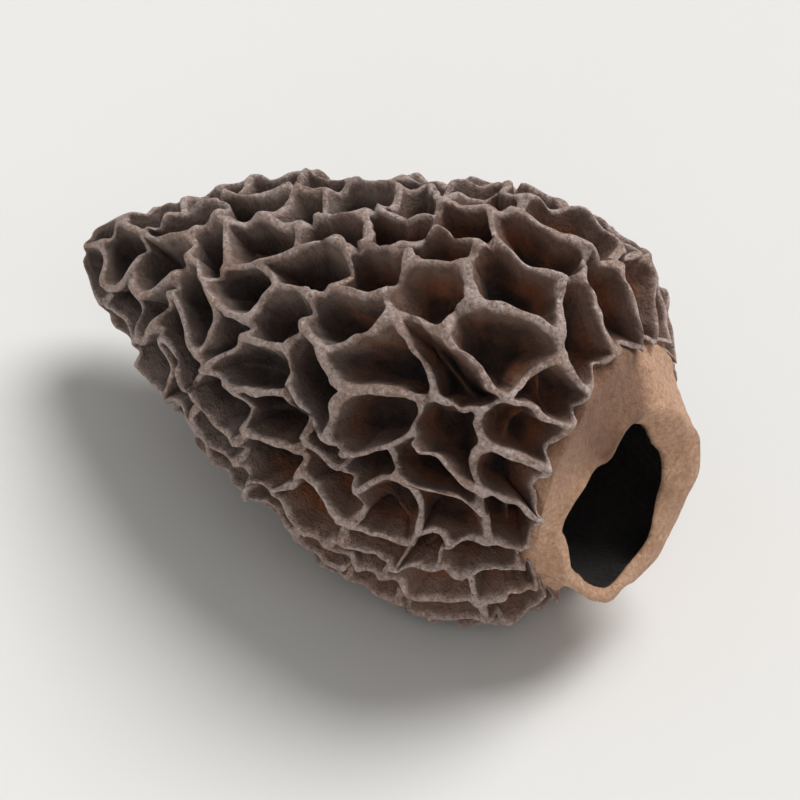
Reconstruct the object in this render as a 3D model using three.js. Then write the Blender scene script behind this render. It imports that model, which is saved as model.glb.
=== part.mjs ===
// A dried black morel lying on its side, in millimetres, +Z up.
//
// Cap and stem grew as one hollow body, so the mushroom is one closed solid. The cap is an
// egg-shaped skin that narrows to a blunt tip. A net of ridges stands on it, and between the
// ridges are deep pits. The short stem stub is torn off obliquely, and its mouth leads into
// the hollow of the cap.
//
// Every point of the cap has two skin coordinates: theta, the turn about the mushroom's own
// axis, and m, a distance from the tip that is measured in local widths, so that a cell drawn
// in the (theta, m) plane keeps its proportions wherever it lies.

import * as THREE from 'three';

// Cap: an egg whose outline is traced by the angle phi, from 0 at the tip.
const CAP_FULL_LENGTH = 61; // of the whole egg, of which the margin cuts off the end
const CAP_RADIUS = 19.2;
const CAP_TAPER = 0.6; // how far the widest place lies towards the stem
const TIP_BLUNTNESS = 0.74; // 1 is a plain egg, and less is blunter
const MARGIN_PHI = 2.74; // where the cap ends, over the stem
const SLANT = 5; // how much further the widest part would reach on one side, at the stem end
const SLANT_TURN = 2.0; // which side that is, as an angle about the axis
const TIP_PIT_PHI = 0.24; // the rim of the pit that closes the tip
const TIP_WALL_SHARE = 0.6; // where that pit is half deep
const LOBE_SHARE = 0.045; // slow unevenness of the dried skin, as a share of the radius
const LOBE_WAVE = 34;

// Underside: the mushroom lies on a slightly flattened side of the cap.
const LYING_TILT = 0.12; // radians that the axis rises towards the stem
const FLAT_DEPTH = 16.8; // from the axis to the flattened side, at FLAT_X
const FLAT_X = 36;
const FLAT_SHARPNESS = 14;
const REST_CUT = 1.2; // how much the flattened side is worn away where it meets the floor

// Net of ridges and pits.
const PIT_LENGTH = 6.1; // spacing of the rows, along the cap
const PIT_WIDTH = 4.7; // spacing of the pits in a row, round the cap
const PIT_ELONGATION = 1.35;
const PIT_JITTER = 0.6; // how far a seed strays, as a share of its spacing
const PIT_DEPTH = 4.4;
const RIDGE_HALF_WIDTH = 0.55;
const SHOULDER_DROP = 0.15; // from the middle of a ridge's top to its edge
const WALL_FOOT = 1.15; // how far the foot of a wall stands from the middle of its ridge
const INSET_LIMIT = 0.55; // most that a ring moves in, as a share of the way to the middle
const FOOT_DEPTH = 3.5;
const RIDGE_SAG = 0.3; // how much a ridge dips between two junctions
const CROSS_RIDGE_SAG = 0.9; // further dip of a ridge that runs round the cap
const RIDGE_BOW = 0.16; // how far a ridge bends sideways, as a share of its length
const CREST_RISE = 0.35; // unevenness of the crests' height
const CREST_WAVE = 9;
const RIDGE_STEP = 2.1; // longest straight stretch of a ridge
const SHORTEST_RIDGE = 0.9; // shorter ridges close up into one junction
const WANDER = 0.8; // how far the whole net strays
const WANDER_WAVE = 11;
const LEAN = 0.8; // how far a crest leans over its foot
const LEAN_WAVE = 15;
const FULL_DEPTH_RADIUS = 9; // nearer the tip, pits and walls shrink with the radius

// Stem stub: a cone that is pressed flat on one side, with a thick lip on the other.
const STEM_MOUTH_RADIUS = 9.4;
const STEM_TAPER_POWER = 0.6; // less than 1 narrows the stem mostly near its base
const STEM_LENGTH = 3.4; // past the middle of the cap's margin
const STEM_FLATNESS = 0.9; // height over width
const BASE_INSET = 0.6; // how far inside the cap's margin the stem starts
const BASE_REACH = 0.3; // radians over which its base evens out the margin
const BASE_CAUTION = 8; // more keeps the base further inside the margin's innermost places
const STEM_SHARES = [0.3, 0.65, 1]; // rings of the outside, from the base to the mouth
const DENT = 0.36; // how much the mouth is pressed in on one side, as a share of its radius
const DENT_TURN = 2.05;
const DENT_WIDTH = 0.65;
const WRINKLE = 0.25;
const LIP_TURN = 0.1; // the side with the thick lip
const LIP_THICKNESS = 3.2; // of flesh there, more than elsewhere
const LIP_BEVEL = 2.2; // how much deeper the inner edge of the lip lies there
const LIP_FLARE = 0.6;
const MOUTH_SLANT = 3; // how much further one side of the stub reaches, before the slant
const MOUTH_SLANT_TURN = -0.6;
const MOUTH_RAGGEDNESS = 0.45;
const STEM_BEND = 0.022; // sideways bend of the stub, per square millimetre
const STEM_SAG = 0.02; // its downward bend
const STEM_BEND_X = 51;
const FLESH = 1.4; // thickness of the stub's wall, and of the cap's under its pits
const HOLLOW_START_PHI = 1.0;
const HOLLOW_END_PHI = 2.6;
const HOLLOW_ROUNDING = 0.93; // keeps the hollow inside the uneven skin
const GROOVE = 0.15; // how far the margin overhangs the stem
const STEM_SIDES = 28;
const HOLLOW_RINGS = 7;

// Moves the origin to the middle of the footprint.
const CENTRE_X = 32.112;
const CENTRE_Y = 0.627;

const SEED = 41;
const NOISE_WAVES = 6;
const WAVE_SPREAD = 0.3; // how far the waves of one field differ in length
const TABLE_STEPS = 400;
const TABLE_START = 0.02;
const TABLE_END = 2.9;
const SLOPE_STEP = 0.001;

const TURN = 2 * Math.PI;

// Random numbers that are the same on every run.
let randomState = SEED;
function random() {
  randomState = (randomState * 16807) % 2147483647;
  return randomState / 2147483647;
}

// A smooth field from about -1 to 1: a sum of plane waves in random directions.
function makeField(wavelength) {
  const waves = [];
  for (let i = 0; i < NOISE_WAVES; i++) {
    const z = 2 * random() - 1;
    const turn = TURN * random();
    const pace = TURN / (wavelength * (1 + WAVE_SPREAD * (2 * random() - 1)));
    const flat = Math.sqrt(1 - z * z);
    const direction = new THREE.Vector3(flat * Math.cos(turn), flat * Math.sin(turn), z);
    waves.push({ pace: direction.multiplyScalar(pace), phase: TURN * random() });
  }
  return (p) => {
    let sum = 0;
    for (const wave of waves) sum += Math.sin(wave.pace.dot(p) + wave.phase);
    return sum / Math.sqrt(NOISE_WAVES);
  };
}

const lobes = makeField(LOBE_WAVE);
const wanderRound = makeField(WANDER_WAVE);
const wanderAlong = makeField(WANDER_WAVE);
const leanRound = makeField(LEAN_WAVE);
const leanAlong = makeField(LEAN_WAVE);
const crestRise = makeField(CREST_WAVE);

// The egg's outline, and its slope, at phi.
const widest = (1 - Math.sqrt(1 + 8 * CAP_TAPER * CAP_TAPER)) / (4 * CAP_TAPER);
const outlineScale = CAP_RADIUS / (Math.pow(Math.sqrt(1 - widest * widest), TIP_BLUNTNESS)
  * (1 - CAP_TAPER * widest));

function outline(phi) {
  const round = Math.pow(Math.sin(phi), TIP_BLUNTNESS);
  return {
    x: CAP_FULL_LENGTH / 2 * (1 - Math.cos(phi)),
    r: outlineScale * round * (1 - CAP_TAPER * Math.cos(phi)),
  };
}

function slope(phi) {
  const before = outline(phi - SLOPE_STEP);
  const after = outline(phi + SLOPE_STEP);
  const dx = after.x - before.x;
  const dr = after.r - before.r;
  const length = Math.hypot(dx, dr);
  return { nx: -dr / length, nr: dx / length, pace: length / (2 * SLOPE_STEP) };
}

// Tables that turn phi into m and into the length of skin from the tip.
const table = [{ phi: TABLE_START, m: 0, length: 0 }];
for (let i = 1; i <= TABLE_STEPS; i++) {
  const step = (TABLE_END - TABLE_START) / TABLE_STEPS;
  const middle = TABLE_START + (i - 0.5) * step;
  const stretch = slope(middle).pace * step;
  const last = table[i - 1];
  table.push({
    phi: TABLE_START + i * step,
    m: last.m + stretch / (PIT_ELONGATION * outline(middle).r),
    length: last.length + stretch,
  });
}

function lookUp(from, value, to) {
  let low = 0;
  let high = TABLE_STEPS;
  while (high - low > 1) {
    const middle = (low + high) >> 1;
    if (table[middle][from] <= value) low = middle;
    else high = middle;
  }
  const a = table[low];
  const b = table[high];
  return a[to] + (b[to] - a[to]) * (value - a[from]) / (b[from] - a[from]);
}

const tipM = lookUp('phi', TIP_PIT_PHI, 'm');
const marginM = lookUp('phi', MARGIN_PHI, 'm');
const radiusAt = (m) => outline(lookUp('m', m, 'phi')).r;

// Slants the stem end, bends the mushroom's own axis, lays it down and puts the origin in place.
function layDown(x, y, z) {
  const side = (y * Math.cos(SLANT_TURN) + z * Math.sin(SLANT_TURN)) / CAP_RADIUS;
  const slanted = x + SLANT * side * Math.pow(x / CAP_FULL_LENGTH, 3);
  const past = Math.max(0, x - STEM_BEND_X);
  const bent = y - STEM_BEND * past * past;
  const sagged = z - STEM_SAG * past * past;
  const cos = Math.cos(LYING_TILT);
  const sin = Math.sin(LYING_TILT);
  return new THREE.Vector3(
    FLAT_X + (slanted - FLAT_X) * cos - sagged * sin - CENTRE_X,
    bent - CENTRE_Y,
    Math.max(0, FLAT_DEPTH - REST_CUT + (slanted - FLAT_X) * sin + sagged * cos),
  );
}

// The skin point at (theta, m), sunk by depth along the skin's normal, before the mushroom is
// laid down. Lean is 1 on a crest and 0 on the floor of a pit.
function uprightCapPoint(theta, m, depth, lean) {
  const r0 = radiusAt(m);
  const x0 = outline(lookUp('m', m, 'phi')).x;
  const p = new THREE.Vector3(x0, r0 * Math.cos(theta), r0 * Math.sin(theta));
  const calm = Math.min(1, r0 / FULL_DEPTH_RADIUS);
  const round = calm * (WANDER * wanderRound(p) + lean * LEAN * leanRound(p));
  const along = calm * (WANDER * wanderAlong(p) + lean * LEAN * leanAlong(p));
  const turned = theta + round / r0;
  const phi = lookUp('m', m + along / (PIT_ELONGATION * r0), 'phi');
  const { x, r } = outline(phi);
  const { nx, nr } = slope(phi);
  let radius = r * (1 + LOBE_SHARE * lobes(p)) + lean * calm * CREST_RISE * crestRise(p);
  const down = Math.max(0, -Math.sin(turned));
  const flat = FLAT_DEPTH + (x - FLAT_X) * Math.tan(LYING_TILT);
  radius /= Math.pow(1 + Math.pow(radius * down / flat, FLAT_SHARPNESS), 1 / FLAT_SHARPNESS);
  const sunk = radius - nr * depth * calm;
  return new THREE.Vector3(x - nx * depth * calm, sunk * Math.cos(turned), sunk * Math.sin(turned));
}

function capPoint(theta, m, depth, lean) {
  const { x, y, z } = uprightCapPoint(theta, m, depth, lean);
  return layDown(x, y, z);
}

// Seeds of the pits: staggered rows from the tip to the margin, each seed shaken a little.
function placeSeeds() {
  const start = lookUp('phi', TIP_PIT_PHI, 'length');
  const end = lookUp('phi', MARGIN_PHI, 'length');
  const rows = Math.round((end - start) / PIT_LENGTH);
  const seeds = [];
  for (let row = 0; row < rows; row++) {
    const middle = start + (row + 0.5) * (end - start) / rows;
    const count = Math.max(5, Math.round(TURN * outline(lookUp('length', middle, 'phi')).r / PIT_WIDTH));
    for (let k = 0; k < count; k++) {
      const shakeRound = PIT_JITTER * (random() - 0.5);
      const shakeAlong = PIT_JITTER * (random() - 0.5) * PIT_LENGTH;
      seeds.push({
        u: TURN * (k + 0.5 * (row % 2) + shakeRound) / count,
        v: lookUp('length', middle + shakeAlong, 'm'),
      });
    }
  }
  return seeds;
}

// Keeps the part of a polygon where a * u + b * v <= c. A corner's side says what lies
// beyond the edge that starts there.
function clip(polygon, a, b, c, side) {
  const kept = [];
  polygon.forEach((p, i) => {
    const q = polygon[(i + 1) % polygon.length];
    const dp = a * p.u + b * p.v - c;
    const dq = a * q.u + b * q.v - c;
    if (dp <= 0) kept.push(p);
    if ((dp <= 0) !== (dq <= 0)) {
      const t = dp / (dp - dq);
      const cut = { u: p.u + (q.u - p.u) * t, v: p.v + (q.v - p.v) * t };
      kept.push({ ...cut, side: dp <= 0 ? side : p.side });
    }
  });
  return kept;
}

// The cell of one seed: all that is nearer to it than to any other seed.
function cellOf(seed, seeds) {
  let polygon = [
    { u: seed.u - Math.PI, v: tipM, side: 'tip' },
    { u: seed.u + Math.PI, v: tipM, side: 'cell' },
    { u: seed.u + Math.PI, v: marginM, side: 'margin' },
    { u: seed.u - Math.PI, v: marginM, side: 'cell' },
  ];
  for (const other of seeds) {
    for (const turn of [-TURN, 0, TURN]) {
      const du = other.u + turn - seed.u;
      const dv = other.v - seed.v;
      if (du === 0 && dv === 0) continue;
      const middle = du * (seed.u + du / 2) + dv * (seed.v + dv / 2);
      polygon = clip(polygon, du, dv, middle, 'cell');
    }
  }
  return polygon;
}

const vertices = [];
const triangles = [];

function addVertex(point) {
  vertices.push(point);
  return vertices.length - 1;
}

const wrap = (angle) => angle - TURN * Math.round(angle / TURN);

function gapBetween(p, q) {
  const r = radiusAt((p.v + q.v) / 2);
  return Math.hypot(wrap(q.u - p.u) * r, (q.v - p.v) * PIT_ELONGATION * r);
}

// Junctions of ridges, shared by the cells that meet there.
const junctions = [];
function junctionAt(corner) {
  const found = junctions.find((j) => gapBetween(j, corner) < SHORTEST_RIDGE);
  if (found) return found;
  const junction = { u: corner.u, v: corner.v, depth: 0 };
  junction.id = addVertex(capPoint(corner.u, corner.v, 0, 1));
  junctions.push(junction);
  return junction;
}

// Points of the ridge from one junction to another, made once for the two cells beside it.
const ridges = new Map();
function ridgeBetween(a, b) {
  const [first, last] = a.id < b.id ? [a, b] : [b, a];
  const key = first.id + '-' + last.id;
  if (!ridges.has(key)) {
    const length = gapBetween(first, last);
    const du = wrap(last.u - first.u);
    const dv = last.v - first.v;
    const round = du * radiusAt((first.v + last.v) / 2) / length;
    const sag = RIDGE_SAG + CROSS_RIDGE_SAG * round * round;
    const count = Math.max(1, Math.round(length / RIDGE_STEP));
    const bow = RIDGE_BOW * (2 * random() - 1);
    const points = [];
    for (let i = 1; i < count; i++) {
      const t = i / count;
      const bulge = 4 * t * (1 - t);
      const u = first.u + du * t - bow * bulge * dv * PIT_ELONGATION;
      const v = first.v + dv * t + bow * bulge * du / PIT_ELONGATION;
      points.push({ u, v, depth: sag * bulge, id: addVertex(capPoint(u, v, sag * bulge, 1)) });
    }
    ridges.set(key, points);
  }
  const points = ridges.get(key);
  return a.id < b.id ? points : [...points].reverse();
}

// The crest loop round a cell, turned so that it runs on from the cell's own seed.
function crestLoop(seed, polygon, edgeLoops) {
  const corners = polygon.map(junctionAt);
  const loop = [];
  polygon.forEach((corner, i) => {
    const from = corners[i];
    const to = corners[(i + 1) % corners.length];
    if (from === to) return;
    const stretch = [from, ...ridgeBetween(from, to)];
    loop.push(...stretch);
    if (corner.side !== 'cell') edgeLoops[corner.side].push(...stretch, to);
  });
  return loop.map((p) => ({ ...p, u: seed.u + wrap(p.u - seed.u) }));
}

// A ring inside a crest loop, moved in from it by a distance in millimetres and sunk below
// the crest where follow is 1, or to an even depth where it is 0.
function insetRing(loop, centre, distance, depth, follow) {
  const r = radiusAt(centre.v);
  const flat = loop.map((p) => new THREE.Vector2(
    (p.u - centre.u) * r,
    (p.v - centre.v) * PIT_ELONGATION * r,
  ));
  return flat.map((p, i) => {
    const before = flat[(i + flat.length - 1) % flat.length];
    const after = flat[(i + 1) % flat.length];
    const inward = new THREE.Vector2(before.y - after.y, after.x - before.x).normalize();
    const home = p.clone().negate().normalize();
    const way = inward.add(home).normalize();
    const moved = p.clone().addScaledVector(way, Math.min(distance, INSET_LIMIT * p.length()));
    const u = centre.u + moved.x / r;
    const v = centre.v + moved.y / (PIT_ELONGATION * r);
    return { u, v, id: addVertex(capPoint(u, v, depth + follow * loop[i].depth, follow)) };
  });
}

function joinRings(outer, inner) {
  outer.forEach((p, i) => {
    const next = (i + 1) % outer.length;
    triangles.push([p.id, outer[next].id, inner[next].id], [p.id, inner[next].id, inner[i].id]);
  });
}

function buildPit(loop) {
  const centre = { u: 0, v: 0 };
  for (const p of loop) {
    centre.u += p.u / loop.length;
    centre.v += p.v / loop.length;
  }
  const shoulder = insetRing(loop, centre, RIDGE_HALF_WIDTH, SHOULDER_DROP, 1);
  const foot = insetRing(loop, centre, WALL_FOOT, FOOT_DEPTH, 0);
  const floor = addVertex(capPoint(centre.u, centre.v, PIT_DEPTH, 0));
  joinRings(loop, shoulder);
  joinRings(shoulder, foot);
  foot.forEach((p, i) => triangles.push([p.id, foot[(i + 1) % foot.length].id, floor]));
}

// Points of an edge loop once each, in order round the axis.
function inOrder(points) {
  const once = new Map(points.map((p) => [p.id, p]));
  const turned = [...once.values()].map((p) => ({ ...p, u: p.u - TURN * Math.floor(p.u / TURN) }));
  return turned.sort((a, b) => a.u - b.u);
}

// Fills the band between two loops that run round the axis, the first one nearer the tip.
function zip(low, high) {
  let i = 0;
  let j = 0;
  const at = (loop, k) => loop[k % loop.length].u + TURN * Math.floor(k / loop.length);
  while (i < low.length || j < high.length) {
    const a = low[i % low.length].id;
    const b = high[j % high.length].id;
    if (j >= high.length || (i < low.length && at(low, i + 1) <= at(high, j + 1))) {
      triangles.push([a, low[(i + 1) % low.length].id, b]);
      i++;
    } else {
      triangles.push([a, high[(j + 1) % high.length].id, b]);
      j++;
    }
  }
}

// The pit at the very tip, inside the loop of crests round it.
function buildTipPit(loop) {
  const calm = Math.min(1, outline(TIP_PIT_PHI).r / FULL_DEPTH_RADIUS);
  const v = lookUp('phi', TIP_PIT_PHI * TIP_WALL_SHARE, 'm');
  const ring = loop.map((p) => (
    { u: p.u, id: addVertex(capPoint(p.u, v, PIT_DEPTH * calm / 2, 0.5)) }
  ));
  zip(ring, loop);
  const floor = addVertex(layDown(PIT_DEPTH * calm, 0, 0));
  ring.forEach((p, i) => triangles.push([floor, ring[(i + 1) % ring.length].id, p.id]));
}

// A ring of the stem or the hollow, at one place along the axis.
function tubeRing(place) {
  const ring = [];
  for (let k = 0; k < STEM_SIDES; k++) {
    const u = TURN * k / STEM_SIDES;
    const { x, r, flatness } = place(u);
    ring.push({ u, id: addVertex(layDown(x, r * Math.cos(u), r * flatness * Math.sin(u))) });
  }
  return ring;
}

function mouthX(u, marginX) {
  const ragged = 0.6 * Math.sin(3 * u + 1) + 0.4 * Math.sin(7 * u + 2);
  return marginX + STEM_LENGTH + MOUTH_SLANT * Math.cos(u - MOUTH_SLANT_TURN) + MOUTH_RAGGEDNESS * ragged;
}

// The stem's radius at its base, by the turn u: a mean of the margin's radii near u in which
// the smallest ones count most, so that the stem starts inside the margin all round.
function baseInside(marginLoop) {
  const crests = marginLoop.map((p) => {
    const { y, z } = uprightCapPoint(p.u, p.v, p.depth, 1);
    return { u: Math.atan2(z / STEM_FLATNESS, y), r: Math.hypot(y, z / STEM_FLATNESS) };
  });
  return (u) => {
    let sum = 0;
    let weights = 0;
    for (const crest of crests) {
      const weight = Math.exp(-Math.pow(wrap(u - crest.u) / BASE_REACH, 2));
      sum += weight * Math.pow(crest.r, -BASE_CAUTION);
      weights += weight;
    }
    return Math.pow(sum / weights, -1 / BASE_CAUTION) - BASE_INSET;
  };
}

// 1 on the side of the stem with the thick lip, and 0 on the other side.
const lipShare = (u) => (1 + Math.cos(u - LIP_TURN)) / 2;

// The stem's outside at a share of the way from its base to its mouth.
function stemOutside(share, marginX, baseRadius) {
  const taper = Math.pow(share, STEM_TAPER_POWER);
  return (u) => {
    const radius = THREE.MathUtils.lerp(baseRadius(u), STEM_MOUTH_RADIUS, taper);
    const dent = DENT * Math.exp(-Math.pow(wrap(u - DENT_TURN) / DENT_WIDTH, 2));
    const wrinkles = WRINKLE * Math.sin(5 * u + 0.7) + WRINKLE / 2 * Math.sin(9 * u);
    return {
      x: THREE.MathUtils.lerp(marginX - GROOVE, mouthX(u, marginX), share),
      r: radius * (1 - dent * share) + wrinkles * share + LIP_FLARE * lipShare(u) * Math.pow(share, 4),
      flatness: STEM_FLATNESS,
    };
  };
}

// Its inside, one wall thickness further in, and further still at the thick lip.
function stemInside(share, marginX, baseRadius) {
  const outside = stemOutside(share, marginX, baseRadius);
  return (u) => {
    const { x, r, flatness } = outside(u);
    const lip = lipShare(u) * lipShare(u) * share;
    return { x: x - LIP_BEVEL * lip, r: r - FLESH - LIP_THICKNESS * lip, flatness };
  };
}

// The cap's hollow, under the floors of the pits.
function hollowAt(phi) {
  const { x, r } = outline(phi);
  const { nx, nr } = slope(phi);
  const sunk = PIT_DEPTH * Math.min(1, r / FULL_DEPTH_RADIUS) + FLESH;
  const radius = Math.min(r - nr * sunk, FLAT_DEPTH - sunk) * HOLLOW_ROUNDING;
  return () => ({ x: x - nx * sunk, r: radius, flatness: HOLLOW_ROUNDING });
}

// The stem stub from the cap's margin to its torn mouth, and the hollow from there to the tip.
function buildStemAndHollow(marginLoop) {
  const marginX = outline(MARGIN_PHI).x;
  const baseRadius = baseInside(marginLoop);
  const places = [0, ...STEM_SHARES].map((share) => stemOutside(share, marginX, baseRadius));
  places.push(stemInside(1, marginX, baseRadius), stemInside(0.5, marginX, baseRadius));
  for (let i = 0; i < HOLLOW_RINGS; i++) {
    places.push(hollowAt(THREE.MathUtils.lerp(HOLLOW_END_PHI, HOLLOW_START_PHI, i / (HOLLOW_RINGS - 1))));
  }
  let last = marginLoop;
  for (const place of places) {
    const ring = tubeRing(place);
    zip(last, ring);
    last = ring;
  }
  const end = outline(HOLLOW_START_PHI);
  const tip = addVertex(layDown(end.x - FLESH, 0, 0));
  last.forEach((p, i) => triangles.push([p.id, last[(i + 1) % last.length].id, tip]));
}

function buildMorel() {
  const seeds = placeSeeds();
  const edgeLoops = { tip: [], margin: [] };
  const loops = seeds.map((seed) => crestLoop(seed, cellOf(seed, seeds), edgeLoops));
  loops.forEach(buildPit);
  buildTipPit(inOrder(edgeLoops.tip));
  buildStemAndHollow(inOrder(edgeLoops.margin));
  const geometry = new THREE.BufferGeometry().setFromPoints(vertices);
  geometry.setIndex(triangles.flat());
  return geometry;
}

const flesh = new THREE.MeshStandardMaterial({ color: 0x4a4038, roughness: 0.9, metalness: 0 });
const morel = new THREE.Mesh(buildMorel(), flesh);
morel.name = 'morel';

const group = new THREE.Group();
group.add(morel);

export default group;
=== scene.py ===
# A dried black morel lying on its side, dressed for a soft studio render.
#
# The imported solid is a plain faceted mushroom. Here its skin, its net of ridges and its hollow
# stem stub are worked out again from the same dimensions and the same random draws, and meshed
# far more finely: thin, crinkled rims, fluted walls, uneven floors and a creased, torn stem.
# Lengths are in millimetres until the mesh is made, which is in metres.

import math

import bpy
import numpy as np
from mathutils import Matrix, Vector


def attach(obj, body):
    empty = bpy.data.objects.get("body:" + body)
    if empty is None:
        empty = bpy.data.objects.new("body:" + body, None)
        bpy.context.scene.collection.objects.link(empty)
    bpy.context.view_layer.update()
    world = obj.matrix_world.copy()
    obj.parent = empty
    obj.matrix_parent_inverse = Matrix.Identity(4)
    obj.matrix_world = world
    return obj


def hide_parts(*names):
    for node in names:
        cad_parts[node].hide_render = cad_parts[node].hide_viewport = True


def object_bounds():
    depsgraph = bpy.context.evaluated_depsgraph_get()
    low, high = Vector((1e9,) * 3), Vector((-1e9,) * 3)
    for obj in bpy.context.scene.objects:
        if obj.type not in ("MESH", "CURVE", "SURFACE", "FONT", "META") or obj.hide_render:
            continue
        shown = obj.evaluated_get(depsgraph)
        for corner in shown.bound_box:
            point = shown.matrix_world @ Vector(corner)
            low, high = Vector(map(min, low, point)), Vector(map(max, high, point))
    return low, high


# Cap, as in the part's source.
CAP_FULL_LENGTH = 61
CAP_RADIUS = 19.2
CAP_TAPER = 0.6
TIP_BLUNTNESS = 0.74
MARGIN_PHI = 2.74
SLANT = 5
SLANT_TURN = 2.0
SLANT_POWER = 3
TIP_PIT_PHI = 0.24
LOBE_SHARE = 0.045
LOBE_WAVE = 34

# Underside, as in the part's source.
LYING_TILT = 0.12
FLAT_DEPTH = 16.8
FLAT_X = 36
FLAT_SHARPNESS = 14
REST_CUT = 1.2

# Net of ridges and pits, as in the part's source.
PIT_LENGTH = 6.1
PIT_WIDTH = 4.7
PIT_ELONGATION = 1.35
PIT_JITTER = 0.6
PIT_DEPTH = 4.4
LEAST_PITS_IN_ROW = 5
RIDGE_SAG = 0.3
CROSS_RIDGE_SAG = 0.9
RIDGE_BOW = 0.16
CREST_RISE = 0.35
CREST_WAVE = 9
SHORTEST_RIDGE = 0.9
WANDER = 0.8
WANDER_WAVE = 11
LEAN = 0.8
LEAN_WAVE = 15
FULL_DEPTH_RADIUS = 9

# Stem stub and hollow, as in the part's source.
STEM_MOUTH_RADIUS = 9.4
STEM_TAPER_POWER = 0.6
STEM_LENGTH = 3.4
STEM_FLATNESS = 0.9
BASE_INSET = 0.6
BASE_REACH = 0.3
BASE_CAUTION = 8
DENT = 0.36
DENT_TURN = 2.05
DENT_WIDTH = 0.65
WRINKLE = 0.25
WRINKLE_WAVES = [(5, 0.7, 1), (9, 0, 0.5)]  # waves in a turn, phase, size
LIP_TURN = 0.1
LIP_THICKNESS = 3.2
LIP_BEVEL = 2.2
LIP_FLARE = 0.6
MOUTH_SLANT = 3
MOUTH_SLANT_TURN = -0.6
MOUTH_RAGGEDNESS = 0.45
MOUTH_WAVES = [(3, 1, 0.6), (7, 2, 0.4)]
STEM_BEND = 0.022
STEM_SAG = 0.02
STEM_BEND_X = 51
FLESH = 1.4
HOLLOW_START_PHI = 1.0
HOLLOW_END_PHI = 2.6
HOLLOW_ROUNDING = 0.93
GROOVE = 0.15

CENTRE_X = 32.112
CENTRE_Y = 0.627

SEED = 41
DRAW_FACTOR = 16807
DRAW_MODULUS = 2147483647
NOISE_WAVES = 6
WAVE_SPREAD = 0.3
TABLE_STEPS = 400
TABLE_START = 0.02
TABLE_END = 2.9
SLOPE_STEP = 0.001
TURN = 2 * math.pi
MM = 0.001

# Fine mesh: steps along a ridge, and the section of a ridge from the middle of its crest down
# to the edge of the pit's floor, as (distance from the middle, depth below the crest).
RIDGE_STEP = 0.36
LEAST_RIDGE_STEPS = 3
RIDGE_SECTION = [
    (0.12, 0.02), (0.23, 0.08), (0.31, 0.20), (0.35, 0.38), (0.35, 0.65), (0.34, 1.05),
    (0.37, 1.50), (0.45, 1.95), (0.56, 2.45), (0.72, 2.95), (0.93, 3.40), (1.20, 3.85),
    (1.60, 4.25),
]
FLOOR_SHARES = [0.74, 0.48, 0.22]  # rings of the floor, as shares of its edge
FINE_PIT_DEPTH = 4.9
FOOT_DEPTH = 3.5  # here a ridge no longer leans or dips
RIM_ROUNDING = 0.85  # of the corners of a pit
FLOOR_ROUNDING = 1.3
SMALL_PIT_ROUNDING = 0.4  # the most in a pit that reaches 1 mm; it grows by the root of the reach
ROUNDING_ONSET = 0.4  # power by which the rounding grows from the crest on
INSET_LIMIT = 0.62  # no ring comes nearer to the middle of its pit than this share of the way
LEAN_POWER = 0.8  # by which the lean of a ridge fades on the way down
PIT_DEPTH_SPREAD = 0.12
RIM_FADE = 1.45  # how far down the pale rim fades away; the pale rim is partly the ridges' own paler flesh and partly a painted highlight along the crests

# Crinkles of the dried flesh, as (wavelength, size).
CRINKLE = (3.1, 0.17)
FINE_CRINKLE = (1.3, 0.085)
CRINKLE_SPREAD = 0.7  # high crests are more crinkled than low ones
RIM_RISE = (2.2, 0.2)
WALL_WAVE = (1.9, 0.16)
FLOOR_WAVE = (2.3, 0.26)
FLOOR_WAVE_ONSET = 3  # power by which the waves of the floor grow on the way down
RIB_SHARE = 0.35  # how many pits have a low rib across the floor
RIB_WIDTH = 0.55
RIB_HEIGHT = 2.0
RIB_OFFSET = 0.8  # the spread of the ribs' places about the middle of the floor
RIB_ONSET = 4
# a rib's top gets this share of the pale rim, partly the flesh's own colour and partly a painted
# highlight
RIB_PALENESS = 0.25
FLUTE_SIZE = 0.13  # of the flutes that run down the walls
FLUTE_SPACING = 1.1
FLUTE_RATES = [0.5, 1, 1.5]
FEWEST_FLUTES = 2

# Rings of the pit at the very tip, as shares of its radius.
TIP_SHARES = [0.93, 0.86, 0.79, 0.72, 0.62, 0.5, 0.36, 0.2]
TIP_BLEND = 0.4  # over this share of the radius the crests' shape fades into a round bowl
TIP_RIM = 0.2
TIP_BOWL_POWER = 3

# Fine rings of the stem and the hollow.
UNDERSIDE_RINGS = 7
UNDERSIDE_CURVE = (0.4, 0.3)  # shares of the gap for the bend at the margin and at the stem
UNDERCUT = 0.9  # of the margin, over the stem
STEM_RINGS = 20
LIP_RINGS = 9
LIP_BULGE = 0.4
THROAT_RINGS = 9
THROAT_SHARE = 0.5  # where the throat ends, on the way from the mouth to the base
THROAT_WIDENING = 0.35
HOLLOW_RINGS = 20
STEM_WRINKLE = (3.4, 0.2)
STEM_WRINKLE_SCALE = [0.35, 1, 1]  # the wrinkles run along the stem
HOLLOW_WRINKLE_SCALE = 0.7
STEM_GRAIN = (0.9, 0.05)
FOLD_TURN = 1.15  # the crease that runs down the top of the stem
FOLD_WIDTH = 0.16
FOLD_HEIGHT = 1.2
SIDE_SHADE_REACH = 1.7  # radians past the fold over which the stem is painted darker, as painted shade on that side
LIP_SHADE_SHARE = 0.1  # how much the lip, the throat and the hollow are painted nearly black, as painted shade in the hollow
THROAT_SHADE_SHARES = (0.3, 0.7)
HOLLOW_SHADE_SHARES = (0.75, 1)

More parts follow.
